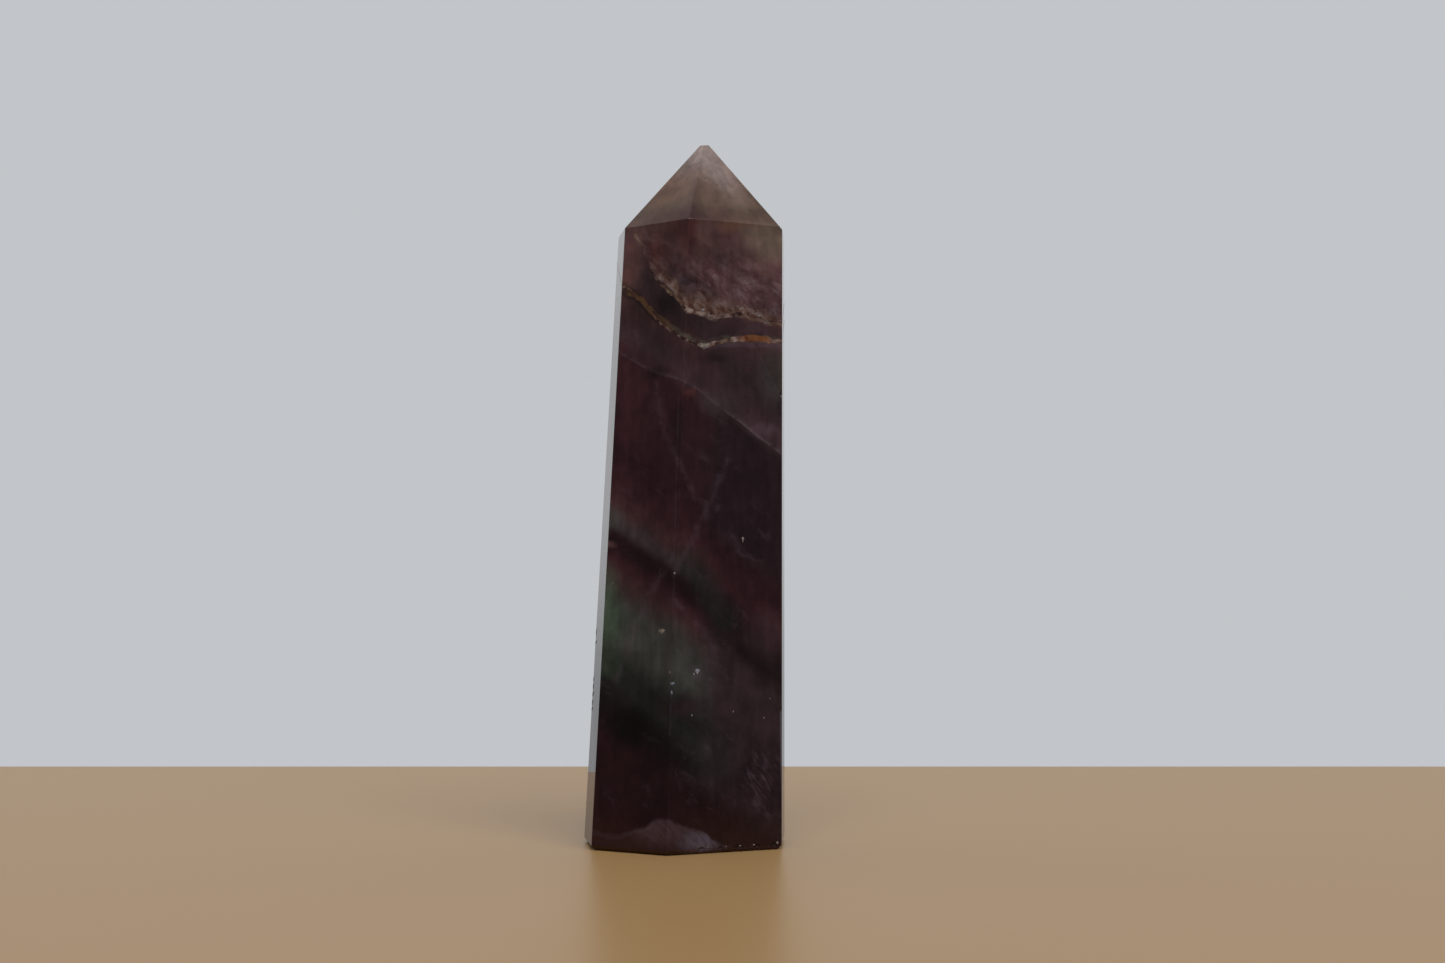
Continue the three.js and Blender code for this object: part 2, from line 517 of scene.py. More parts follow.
# %% [markdown]
# ## One sharp boundary
# High up, growth stopped for a while and then began again with a paler colour. That left a boundary
# as sharp as a pencil line. A pale film lies on it, and a finer line runs along the film's lower
# edge. Both are patchy, and strongest at the right. The boundary has a calmer drift of its own,
# because the frayed places would make it ragged.

# %% draw the boundary
BOUNDARY = 42.0
FILM_TOP = 0.75
FILM_SHADE = screen(112, 94, 99)
PENCIL_SHADE = screen(132, 106, 110)

steady = r.drift(p, 0.5, 0.35, 2.0)
steady_bend = r.fade(r.split(p)["X"], -5.0, 2.0, 1.1, 0.0)
level = r.math("ADD", r.vec("DOT_PRODUCT", steady, tuple(GROWTH)), steady_bend)
above = r.fade(level, BOUNDARY - 0.12, BOUNDARY + 0.12)
film = r.times(above, r.fade(level, BOUNDARY + FILM_TOP, BOUNDARY + 0.1))
patchy = r.fade(r.noise(p, 0.9, 3.0, 0.65), 0.36, 0.58, 0.15, 1.0)
film_strength = r.times(r.fade(x, -3.0, 4.0, 0.3, 0.62), patchy)
tint = r.mix(r.times(film, film_strength), tint, FILM_SHADE)
pencil_line = r.band(level, BOUNDARY + 0.1, 0.02, 0.16)
pencil = r.times(pencil_line, r.fade(x, -2.0, 6.0, 0.2, 0.5))
tint = r.mix(r.times(pencil, patchy), tint, PENCIL_SHADE)
print(len(r.nodes), "nodes so far")

# %% [markdown]
# ## Patches
# On top of the layers are clouds that follow no layer. Each is an egg-shaped region of the solid,
# so it reaches inwards as a real inclusion does. A row gives its shade, its strength, the x and z of
# the place where it comes to the front, and its half-sizes. The same drift as in the layers frays
# its rim. One dark green band is a long soft line instead of an egg.
# The near-black patch between the two veins is partly painted shade, under the upper vein.

# %% lay the patches
PATCHES = [
    ("rust", 0.45, (0.9, 50.8), (1.3, 2.0, 0.5)),
    ("near black", 0.85, (-5.6, 13.5), (4.6, 5.0, 3.6)),
    ("sea green", 0.8, (-8.6, 25.5), (3.0, 5.0, 5.0)),
    ("grey green", 0.6, (-8.6, 36.7), (3.4, 4.0, 1.7)),
    ("old rose", 0.85, (-8.5, 33.7), (1.4, 2.0, 0.6)),
    ("plum", 0.5, (0.6, 44.6), (4.2, 5.0, 7.0)),
    ("near black", 0.35, (-0.9, 48.4), (1.7, 4.0, 4.4)),
    ("sea green", 0.45, (-8.4, 29.6), (1.8, 4.0, 2.8)),
    ("sea green", 0.35, (-8.0, 20.4), (2.6, 4.0, 2.4)),
    ("grey green", 0.2, (3.6, 10.6), (4.8, 4.0, 5.6)),
    ("grey green", 0.5, (-1.2, 24.3), (2.2, 3.0, 2.4)),
    ("plum", 0.8, (0.2, 16.4), (3.6, 4.0, 2.1)),
    ("lilac", 0.35, (1.6, 19.8), (1.2, 2.0, 1.0)),
    ("smoke", 0.5, (3.8, 49.6), (3.8, 3.0, 2.2)),
    ("lilac", 0.4, (8.2, 58.1), (3.2, 2.0, 0.8)),
    # Partly painted shade: this near-black patch lies between the veins, where the upper vein shades
    # it.
    ("near black", 0.6, (-1.9, 60.4), (2.7, 3.0, 2.3)),
    ("near black", 0.35, (-2.1, 56.3), (2.6, 3.0, 2.6)),
    ("near black", 0.55, (-2.8, 52.8), (1.9, 3.0, 1.0)),
    ("clay", 0.85, (-6.7, 65.2), (3.0, 4.0, 5.6)),
    ("clay", 0.4, (-5.2, 69.2), (1.6, 3.0, 1.4)),
    ("rust", 0.8, (-2.9, 66.6), (2.2, 3.5, 3.4)),
    ("dark wine", 0.75, (-1.2, 67.8), (1.7, 3.0, 2.6)),
    ("garnet", 0.85, (0.4, 67.8), (1.7, 4.0, 4.0)),
    ("rose haze", 0.85, (7.0, 62.8), (6.2, 5.0, 4.0)),
    ("pale olive", 0.95, (9.6, 68.4), (5.2, 5.0, 4.2)),
    ("bronze", 0.35, (4.6, 69.6), (2.8, 5.0, 1.4)),
    ("rose haze", 0.5, (2.8, 69.0), (2.0, 3.0, 1.3)),
    ("umber", 0.55, (6.9, 66.4), (2.9, 2.5, 1.7)),
    ("near black", 0.3, (5.0, 66.4), (0.8, 2.0, 0.6)),
    ("grey green", 0.7, (10.2, 53.2), (3.0, 4.0, 4.6)),
    ("lilac", 0.36, (9.2, 46.7), (2.8, 3.0, 1.3)),
    ("near black", 0.45, (3.4, 54.4), (2.6, 2.0, 0.8)),
    ("mauve", 0.5, (9.4, 24.0), (3.4, 4.0, 3.6)),
]
DARK_BAND = [(0.9, 31.6), (4.8, 25.6)]


def lay(tint, patches, soft):
    """Lays egg-shaped patches over the tint, one after the other."""
    for shade, strength, (px, pz), radii in patches:
        mask = r.blob(frayed, on_front(px, pz), radii, soft)
        tint = r.mix(r.times(mask, strength), tint, SHADES[shade])
    return tint


tint = lay(tint, PATCHES, 0.8)
shadow = r.thread(frayed, [on_front(*at) for at in DARK_BAND], 0.3, 2.3)
tint = r.mix(r.times(shadow, 0.7), tint, SHADES["black green"])
print(len(PATCHES), "patches,", len(r.nodes), "nodes so far")

# %% [markdown]
# ## Where the veins run
# Two mineral veins cross the upper part, and they come to the front in crooked lines of (x, z)
# points. Their solid crusts are pieces of their own, made further down. Here the same lines serve
# the fluorite beside them: a smooth curve through the points gives how far above the vein any
# place is. Both veins climb towards the back of the stone, and what lies along them climbs too.

# %% follow the veins
UPPER_LINE = [
    (-9.0, 74.5), (-5.4, 68.5), (-4.9, 67.1), (-4.5, 66.0), (-4.0, 64.9), (-3.4, 63.9), (-2.7, 62.9),
    (-1.8, 62.0), (-0.7, 61.2), (-0.1, 60.2), (0.4, 59.5), (1.8, 59.2), (3.5, 59.05), (5.2, 59.4),
    (6.8, 59.6), (8.8, 59.1), (12.2, 58.7),
]
LOWER_LINE = [
    (-9.2, 65.0), (-6.8, 62.9), (-6.0, 62.2), (-4.8, 61.0), (-3.4, 59.3), (-2.1, 57.9), (-0.8, 57.0),
    (0.7, 56.1), (2.2, 55.7), (3.5, 56.0), (4.6, 56.5), (6.5, 56.8), (8.5, 56.9), (12.2, 56.7),
]
VEIN_CLIMB = 0.5
VEIN_LEVEL = 60.0
ACROSS_FRONT = (-11.0, -9.0, -4.0, 0.0, 4.0, 10.0, 12.0)

front_y = [(x_mm, on_front(x_mm, VEIN_LEVEL)[1]) for x_mm in ACROSS_FRONT]
depth = r.math("SUBTRACT", parts["Y"], r.profile(x, front_y))
level_z = r.math("SUBTRACT", z, r.times(depth, VEIN_CLIMB))
above_upper = r.math("SUBTRACT", level_z, r.profile(x, UPPER_LINE))
above_lower = r.math("SUBTRACT", level_z, r.profile(x, LOWER_LINE))
print("the front is at y =", [round(y, 1) for _, y in front_y], "mm")

# %% [markdown]
# ## Clouds along the upper vein
# The fluorite above the upper vein is full of the same minerals. Close to the vein they are packed
# as pale grains, in a bed that is thickest in the middle, and further up they thin out to streaky
# clouds. Both come from noise in a space that is drawn out down to the right, the way the layers
# run. A few patches break the clouds into light and dark.

# %% cloud the upper vein
CLOUD_TOP = 9.0
CLOUD_PATCHES = [
    ("rose haze", 0.5, (9.4, 61.4), (2.2, 3.0, 1.7)),
    ("rose haze", 0.35, (4.8, 61.8), (2.6, 3.0, 1.5)),
    ("deep plum", 0.6, (0.5, 62.8), (1.7, 2.0, 0.8)),
    ("dark wine", 0.6, (3.0, 61.4), (1.3, 2.0, 0.7)),
]

down_right = r.vec("DOT_PRODUCT", frayed, (0.75, 0.0, -0.66))
up_right = r.vec("DOT_PRODUCT", frayed, (0.66, 0.0, 0.75))
drawn_out = r.times(down_right, 0.45)
streaky = r.make("ShaderNodeCombineXYZ", drawn_out, depth, up_right).outputs[0]
clot = r.noise(streaky, 0.95, 5.0, 0.68)
grainy = r.noise(streaky, 1.5, 3.0, 0.55)
cloud_shade = r.ramp(clot, [
    (0.38, screen(82, 48, 52)),
    (0.46, screen(118, 80, 83)),
    (0.54, screen(152, 118, 121)),
    (0.63, screen(188, 158, 160)),
])
grain_shade = r.ramp(grainy, [
    (0.36, screen(122, 80, 68)),
    (0.46, screen(160, 118, 100)),
    (0.54, screen(184, 146, 130)),
    (0.66, screen(208, 182, 172)),
])
start = r.fade(above_upper, -0.4, 0.05)
in_cloud = r.times(start, r.fade(above_upper, CLOUD_TOP, 1.0))
on_right = r.fade(x, -1.5, 2.0, 0.35, 1.0)
tint = r.mix(r.times(in_cloud, r.times(on_right, 0.8)), tint, cloud_shade)
tint = lay(tint, CLOUD_PATCHES, 0.9)
print(len(r.nodes), "nodes so far")

# %% bed the grains
GRAIN_BED = [
    (-4.5, 0.0), (-4.0, 1.0), (-3.0, 1.7), (-1.4, 1.9), (0.6, 2.1), (2.0, 2.6), (5.0, 2.3),
    (7.4, 1.6), (12.0, 0.9),
]

thick = r.profile(x, GRAIN_BED)
in_grains = r.times(start, r.fade(r.math("DIVIDE", above_upper, thick), 1.2, 0.25))
broken = r.times(r.fade(clot, 0.36, 0.5, 0.6, 1.0), r.fade(x, -4.2, -2.2, 0.3, 1.0))
tint = r.mix(r.times(in_grains, broken), tint, grain_shade)

# %% [markdown]
# ## Beside the lower vein
# The lower vein is clean on both sides, and three marks run along it: a near-black band at the left,
# a narrow broken halo of brown and grey all along, and a lilac strip under its right end.

# %% line the lower vein
HALO_LEFT = screen(132, 94, 58)
HALO_RIGHT = screen(118, 106, 92)

outline = r.times(r.band(above_lower, 0.0, 0.4, 0.5), r.fade(x, -1.6, -3.4, 0.0, 0.6))
tint = r.mix(outline, tint, SHADES["near black"])
halo = r.band(above_lower, 0.1, 0.25, 0.35)
halo_shade = r.mix(r.fade(x, -2.2, -0.2), HALO_LEFT, HALO_RIGHT)
tint = r.mix(r.times(halo, r.fade(clot, 0.4, 0.56, 0.1, 0.9)), tint, halo_shade)
strip = r.times(r.band(above_lower, -0.55, 0.1, 0.3), r.fade(x, 2.6, 5.0, 0.0, 0.5))
tint = r.mix(strip, tint, SHADES["lilac"])
print(len(r.nodes), "nodes so far")

# %% [markdown]
# ## The warm top
# The tip is the youngest part and the thinnest, so it is the palest: a warm haze that gets lighter
# towards the apex. The ramp follows the calm height, because the frayed one would curl it into
# swirls. Red patches lie round the foot of the front ridge, a bronze one warms the facet left of
# it, and a gleam runs down the facet at the right. A hairline crack starts near the apex, and a red
# seam follows the ridge down into the body.

# %% warm the tip
TIP_FROM, TIP_TO = 69.5, 80.0
TIP_PATCHES = [
    ("bronze", 0.6, (-2.4, 74.6), (4.6, 6.0, 5.0)),
    ("garnet", 0.9, (0.1, 69.9), (3.4, 5.0, 3.1)),
    ("garnet", 0.45, (3.6, 70.6), (3.2, 5.0, 1.5)),
    ("rust", 0.35, (-2.6, 70.6), (4.2, 5.0, 2.0)),
    ("old rose", 0.4, (1.0, 76.4), (1.6, 4.0, 2.4)),
]
GLEAM_SHADE = screen(228, 202, 194)
HAIRLINE_SHADE = screen(214, 178, 176)

calm_z = r.split(calm)["Z"]
up_the_tip = r.math("DIVIDE", r.math("SUBTRACT", calm_z, TIP_FROM), TIP_TO - TIP_FROM)
tip_shade = r.ramp(up_the_tip, [
    (0.0, screen(126, 94, 78)),
    (0.22, screen(142, 113, 93)),
    (0.42, screen(166, 132, 114)),
    (0.62, screen(198, 166, 152)),
    (1.0, screen(224, 200, 190)),
])
tint = r.mix(r.fade(z, 68.8, 70.8, 0.0, 0.95), tint, tip_shade)
tint = lay(tint, TIP_PATCHES, 0.9)
gleam = r.stroke(calm, on_front(2.4, 78.0), on_front(6.0, 72.8), 0.0, 2.4)
gleam_strength = r.fade(calm_z, 72.5, 77.0, 0.2, 0.9)
tint = r.mix(r.times(gleam, gleam_strength), tint, GLEAM_SHADE)
hairline = r.stroke(calm, on_front(0.5, 77.9), on_front(1.3, 74.3), 0.04, 0.25)
tint = r.mix(r.times(hairline, 0.4), tint, HAIRLINE_SHADE)
seam = r.thread(calm, [on_front(1.4, 74.6), on_front(0.9, 70.6), on_front(0.5, 66.4)], 0.05, 1.3)
tint = r.mix(r.times(seam, 0.45), tint, SHADES["garnet"])
print(len(r.nodes), "nodes so far")

# %% [markdown]
# ## Clouds and smoke
# No zone is even. Soft clouds make it lighter and darker, fine upright streaks run through it, and
# the far left is lighter than the rest. Smoke hangs where tiny cracks have healed. It is drawn where
# a noise rises high, in the space that is drawn out down to the right, and only inside a few
# regions where a much slower noise is high too. It fades out in the tip.

# %% cloud the zones
SMOKE_STRENGTH = 0.3

cloud = r.noise(frayed, 0.42, 4.0, 0.62)
streak = r.noise(r.vec("MULTIPLY", calm, (0.9, 0.9, 0.16)), 1.3, 3.0, 0.6)
light = r.times(r.fade(cloud, 0.3, 0.7, 0.78, 1.24), r.fade(streak, 0.3, 0.7, 0.86, 1.15))
light = r.times(light, r.fade(x, -6.5, -3.6, 1.28, 1.0))
tint = r.make("ShaderNodeHueSaturation", 0.5, 1.0, light, 1.0, tint).outputs[0]
wisp = r.fade(r.noise(streaky, 0.6, 5.0, 0.7), 0.54, 0.74)
where_smoky = r.fade(r.noise(p, 0.16, 1.0), 0.44, 0.62)
smoke = r.times(wisp, where_smoky)
smoke_strength = r.fade(z, 73.0, 68.0, 0.0, SMOKE_STRENGTH)
tint = r.mix(r.times(smoke, smoke_strength), tint, SHADES["lilac"])

# %% [markdown]
# ## Healed cracks, and a highlight on the arris
# A few cracks are clear enough to follow with the eye: a web of pale threads in the wine zone, a
# tent-shaped pair below it and a short cream line where the upper vein runs out. One long thin pale
# line down the front arris is drawn the same way, but it is a painted highlight on the arris, not a
# crack. Each is a crooked line through points on the front. Real threads are thin in one place and
# hazy in the next, so a power that comes from the clotted noise narrows the web and the tent here
# and widens them there.

# %% draw the threads
WEB = [
    [(-3.1, 52.0), (-2.1, 46.0), (-0.4, 42.7)],
    [(-0.4, 42.7), (1.4, 38.9), (3.8, 37.9)],
    [(4.9, 43.2), (2.8, 38.1), (-0.9, 30.6)],
]
TENT = [[(-1.2, 32.4), (-4.1, 27.3), (-7.4, 18.9)], [(-0.8, 27.6), (3.6, 22.4)]]
CREAM_LINE = [(-5.5, 68.6), (-4.8, 67.4)]
ARRIS_HIGHLIGHT = [(-0.5, 50.2), (-1.2, 20.9), (-1.4, 13.0)]

wavering = r.drift(p, 0.9, 0.5, 3.0, 0.6)


def draw(tint, lines, half, soft, strength, shade, where=wavering, spread=None):
    """Draws threads over the tint; spread is the power that makes them thinner or wider."""
    mark = 0.0
    for line in lines:
        mark = r.math("MAXIMUM", r.thread(where, [on_front(*at) for at in line], half, soft), mark)
    if spread:
        mark = r.math("POWER", mark, spread)
    share = r.times(r.times(mark, strength), patchy)
    return r.mix(share, tint, SHADES[shade])


thin_or_wide = r.fade(clot, 0.42, 0.62, 9.0, 1.2)
tint = draw(tint, WEB + TENT, 0.0, 1.4, 0.25, "lilac", spread=thin_or_wide)
tint = draw(tint, [CREAM_LINE], 0.0, 0.4, 0.75, "cream")
# A painted highlight: a thin pale line down the front arris, where the softened edge catches light.
tint = draw(tint, [ARRIS_HIGHLIGHT], 0.03, 0.16, 0.2, "lilac", p)
print(len(WEB + TENT) + 2, "threads,", len(r.nodes), "nodes so far")

# %% [markdown]
# ## Rubbed at the lower right
# The lower right corner is rubbed, and covered in fine slanting scuffs. They are a noise that is
# squeezed across the scuffs and stretched along them, kept to one spot by an egg-shaped patch.
# Cutting them into the mesh would be far more work, and they are too shallow to be seen as shape.

# %% scuff the lower right
across_scuffs = r.vec("DOT_PRODUCT", p, (0.8, 0.2, 0.6))
along_scuffs = r.vec("DOT_PRODUCT", p, (-0.17, 0.0, 0.22))
scuffed = r.make("ShaderNodeCombineXYZ", across_scuffs, along_scuffs, 0.0).outputs[0]
marks = r.noise(scuffed, 2.5, 2.5, 0.55)
rubbed = r.blob(p, on_front(8.4, 8.0), (2.8, 4.0, 4.4), 0.8)
scuffs = r.times(r.fade(marks, 0.44, 0.8), r.times(rubbed, 0.72))
tint = r.mix(scuffs, tint, SHADES["lilac"])

# %% [markdown]
# ## The veil at the foot
# A wide healed crack bulges up from the foot like a veil. Its rim is a smooth curve along the
# front, frayed a little, with a thin line of light on it. Under the rim the stone turns to an even
# wine, and two glows, a dusky one and a bluish one, light it up in the same slanting strokes.

# %% raise the veil
VEIL = [
    (-11.5, 2.0), (-9.6, 2.2), (-7.5, 2.0), (-5.7, 2.6), (-4.1, 3.0), (-1.8, 4.1), (-0.7, 3.6),
    (2.3, 2.4), (5.0, 0.9), (11.5, 0.6),
]
VEIL_GLOWS = [
    ("dusk", (-3.0, 2.8), (5.0, 4.0, 2.5)),
    ("slate", (2.1, 1.5), (4.1, 4.0, 2.1)),
]

frayed_rim = r.drift(p, 0.8, 0.9, 3.0, 0.65)
rim_parts = r.split(frayed_rim)
below_rim = r.math("SUBTRACT", r.profile(rim_parts["X"], VEIL), rim_parts["Z"])
veil_streaks = r.fade(marks, 0.3, 0.6, 0.45, 1.0)
veil_shade = SHADES["wine"]
for shade, (px, pz), radii in VEIL_GLOWS:
    glow = r.times(r.blob(frayed_rim, on_front(px, pz), radii, 0.9), veil_streaks)
    veil_shade = r.mix(glow, veil_shade, SHADES[shade])
tint = r.mix(r.fade(below_rim, -0.15, 0.45, 0.0, 0.92), tint, veil_shade)
rim_line = r.band(below_rim, 0.3, 0.05, 0.4)
rim_light = r.times(rim_line, r.fade(rim_parts["X"], 5.0, 1.0, 0.0, 0.14))
tint = r.mix(rim_light, tint, SHADES["lilac"])

# %% [markdown]
# ## Glass with a haze in it
# The stone is glassy outside and cloudy inside. The surface under the polish is rough, so what is
# seen through it blurs, and part of the light scatters back in the zone's colour. Above the boundary
# the stone is clearer, so there it is smoother and lets more light through. A clear coat over it is
# the polish: sharp reflections, with the weak mirror of fluorite, whose index is only 1.434. The
# volume soaks up light on its way through, more of the green and the blue than of the red. A volume
# that scatters would give the same haze, but takes far longer to render.
#
# The renderer can hold only so much of a material at once, and a recipe that is too long comes out
# black. This one is near that limit, which is why the cells above count their nodes.

# %% finish the fluorite
FLUORITE_INDEX = 1.434
POLISH_ROUGHNESS = 0.02
HAZE_BELOW, HAZE_ABOVE = 0.34, 0.2
CLEAR_BELOW, CLEAR_ABOVE = 0.35, 0.6
SOAKS_UP = (0.62, 0.47, 0.45, 1.0)
SOAKS_UP_PER_METRE = 90.0


def polish(surface):
    """Gives a shader a clear coat like polished fluorite, in place of its own mirror."""
    surface.inputs["Specular IOR Level"].default_value = 0.0
    surface.inputs["Coat Weight"].default_value = 1.0
    surface.inputs["Coat Roughness"].default_value = POLISH_ROUGHNESS
    surface.inputs["Coat IOR"].default_value = FLUORITE_INDEX


r.put(surface.inputs["Base Color"], tint)
r.put(surface.inputs["Roughness"], r.fade(level, BOUNDARY, 54.0, HAZE_BELOW, HAZE_ABOVE))
clearness = r.fade(level, BOUNDARY, 50.0, CLEAR_BELOW, CLEAR_ABOVE)
r.put(surface.inputs["Transmission Weight"], clearness)
surface.inputs["IOR"].default_value = FLUORITE_INDEX
polish(surface)
absorb = r.nodes.new("ShaderNodeVolumeAbsorption")
absorb.inputs["Color"].default_value = SOAKS_UP
absorb.inputs["Density"].default_value = SOAKS_UP_PER_METRE
r.links.new(absorb.outputs[0], output.inputs["Volume"])
crystal.data.materials.append(fluorite)
print("fluorite has", len(fluorite.node_tree.nodes), "nodes")


# %% [markdown]
# ## Two mineral veins
# Two thin crusts of mixed minerals cut through the upper part. Each is a sheet: it comes out at the
# front in a crooked line, where it was ground and polished with the rest, and climbs towards the
# back. Paint on the faces would have no depth where light shines through, so the sheets are real
# pieces, made larger than the crystal and then cut off at its faces. The tool for the cut is the
# crystal's own convex body, built from its planes, and a hair larger, so that the cut edges are seen
# before the faces.

# %% cut to the crystal's body
FLUSH = 0.008
LARGE_CUBE = 400.0


def core_of(proud):
    """The crystal's convex body, with each face moved out by proud mm."""
    bm = bmesh.new()
    bmesh.ops.create_cube(bm, size=LARGE_CUBE)
    for normal, distance in PLANES:
        geometry = bm.verts[:] + bm.edges[:] + bm.faces[:]
        on_plane = normal * (distance + proud)
        cut = bmesh.ops.bisect_plane(
            bm, geom=geometry, plane_co=on_plane, plane_no=normal, clear_outer=True
        )
        edges = [e for e in cut["geom_cut"] if isinstance(e, bmesh.types.BMEdge)]
        if edges:
            bmesh.ops.contextual_create(bm, geom=edges)
    core = mesh_object("core", bm)
    core.data.transform(Matrix.Scale(MM, 4))
    return core


def plain_copy(thing):
    """Turns an object and its modifiers into a plain mesh."""
    graph = bpy.context.evaluated_depsgraph_get()
    made = bpy.data.meshes.new_from_object(thing.evaluated_get(graph))
    thing.modifiers.clear()
    thing.data = made
    return thing


def keep_inside(thing):
    """Cuts off what reaches out of the core."""
    cut = thing.modifiers.new("keep inside", "BOOLEAN")
    cut.operation = "INTERSECT"
    cut.object = CORE
    cut.solver = "EXACT"
    return plain_copy(thing)


CORE = core_of(FLUSH)
print("core has", len(CORE.data.polygons), "faces")

# %% [markdown]
# ## A sheet from its line
# Each sheet is a pair of grids, a top and a bottom, swept back from the line. A slow wave bends both
# and a finer one shakes them, so that no stretch is flat. Their distance is the sheet's thickness:
# it changes along the line, is lumpy, and gets less towards the back. A strip round the rim closes
# them. Every point remembers how deep it lies, for the material.

# %% sweep the veins
VEIN_STEP = 0.28
VEIN_REACH = 22.0
STEPS_OUT = 6
THINNED_AT = 6.0
THINNED_BY = 0.6
LEAST_HALF = 0.05
WAVE_SIZE, WAVE_SCALE = 2.2, 0.35
SHAKE_SIZE, SHAKE_SCALE = 0.8, 1.1
LUMP_SIZE, LUMP_SCALE = 0.3, 1.6
DEPTHS = [VEIN_STEP * j for j in range(-STEPS_OUT, int(VEIN_REACH / VEIN_STEP))]


def along(points, x):
    """The second value of a crooked line of (x, value) points at one x, straight between points."""
    for (x0, value0), (x1, value1) in zip(points, points[1:]):
        if x <= x1:
            break
    t = (x - x0) / (x1 - x0)
    return value0 + (value1 - value0) * t


def sheet_row(line, widths, bend, seed, side, x):
    """One row of a sheet's top (side 1) or bottom (side -1), front to back: (point, depth) in mm."""
    z0 = along(line, x)
    y0 = on_front(x, z0)[1]
    row = []
    for d in DEPTHS:
        at = Vector((x, y0 + d, z0 + VEIN_CLIMB * d))
        wave = noise.noise(at * WAVE_SCALE + Vector((seed, 0, 0)))
        lumps = noise.fractal(at * LUMP_SCALE + Vector((0, seed, 0)), 0.7, 2.0, 4)
        shake = noise.fractal(at * SHAKE_SCALE + Vector((0, 0, seed)), 0.8, 2.0, 3)
        behind = min(1.0, max(0.0, d / THINNED_AT))
        thickness = along(widths, x) * (1 - THINNED_BY * behind) * (1 + LUMP_SIZE * lumps)
        bent = bend * (WAVE_SIZE * wave * behind + SHAKE_SIZE * shake)
        at.z += bent + side * max(LEAST_HALF, thickness / 2)
        row.append((at, d))
    return row


def close_sheet(bm, top, bottom):
    """Faces both grids of vertices, and joins their rims."""
    nx, ny = len(top), len(top[0])
    for grid in (top, bottom):
        for i in range(nx - 1):
            for j in range(ny - 1):
                bm.faces.new([grid[i][j], grid[i + 1][j], grid[i + 1][j + 1], grid[i][j + 1]])
    rim = [(i, 0) for i in range(nx)] + [(nx - 1, j) for j in range(1, ny)]
    rim += [(i, ny - 1) for i in range(nx - 2, -1, -1)] + [(0, j) for j in range(ny - 2, -1, -1)]
    for (i, j), (k, l) in zip(rim, rim[1:]):
        bm.faces.new([top[k][l], top[i][j], bottom[i][j], bottom[k][l]])
    bmesh.ops.recalc_face_normals(bm, faces=bm.faces)


def vein_sheet(name, line, widths, bend, seed):
    """A vein as a closed sheet, cut off at the crystal's faces."""
    bm = bmesh.new()
    depth_layer = bm.verts.layers.float.new("depth")
    count = int((line[-1][0] - line[0][0]) / VEIN_STEP) + 1
    across = [line[0][0] + VEIN_STEP * i for i in range(count)]
    grids = []
    for side in (1, -1):
        grid = []
        for x in across:
            column = []
            for at, d in sheet_row(line, widths, bend, seed, side, x):
                vertex = bm.verts.new(at * MM)
                vertex[depth_layer] = d
                column.append(vertex)
            grid.append(column)
        grids.append(grid)
    close_sheet(bm, *grids)
    return keep_inside(mesh_object(name, bm))


# %% lay the two veins
UPPER_STARTS = 4
UPPER_WIDTH = [
    (-4.0, 0.12), (-2.7, 0.3), (-1.6, 0.5), (0.4, 0.6), (1.6, 0.5), (5.0, 0.45), (7.0, 0.35),
    (8.2, 0.2), (12.2, 0.2),
]
LOWER_WIDTH = [
    (-9.2, 0.24), (-5, 0.36), (-3.2, 0.4), (-1.8, 0.24), (1.2, 0.3), (2.4, 0.55), (4.0, 0.4),
    (6.0, 0.6), (7.5, 0.75), (9.6, 0.7), (10.2, 0.4), (12.2, 0.4),
]

upper_vein = vein_sheet("upper_vein", UPPER_LINE[UPPER_STARTS:], UPPER_WIDTH, 0.3, 11.3)
lower_vein = vein_sheet("lower_vein", LOWER_LINE, LOWER_WIDTH, 0.22, 47.9)
VEINS = (upper_vein, lower_vein)
for vein in VEINS:
    vein.data.calc_loop_triangles()
    print(vein.name, len(vein.data.loop_triangles), "triangles")

# %% [markdown]
# ## The veins' crust
# Where a vein meets the front it is a mix of grains, pale, tan and orange, with dark gaps between
# them. Deeper down, where it is only seen through the haze, it is a soft mottled brown. The depth
# that each point remembers tells the two apart, with an uneven change between them. Spots named by
# their place colour single stretches of the edge. The crust is polished with the crystal, so it has
# the same clear coat.

# %% colour the crust
CRUST_ROUGHNESS = 0.5
EDGE_UP_TO, INSIDE_FROM = 1.6, 3.4
EDGE_SPOTS = [
    (screen(134, 80, 44), 0.9, (8.1, 56.8), (2.8, 2.4, 1.4)),
    (screen(150, 122, 114), 0.8, (10.6, 56.8), (1.3, 2.0, 1.2)),
    (screen(168, 156, 142), 0.8, (2.3, 55.7), (0.9, 1.5, 0.9)),
    (screen(132, 110, 90), 0.7, (4.7, 56.5), (1.1, 1.5, 0.9)),
    (screen(96, 68, 48), 1.0, (-4.4, 60.8), (3.4, 3.0, 3.6)),
    (screen(132, 104, 82), 0.85, (-0.9, 61.9), (2.0, 2.4, 1.9)),
    (screen(30, 18, 16), 0.6, (9.6, 59.2), (1.5, 2.0, 0.7)),
    (screen(158, 136, 128), 0.5, (3.6, 59.5), (3.6, 2.0, 0.9)),
]

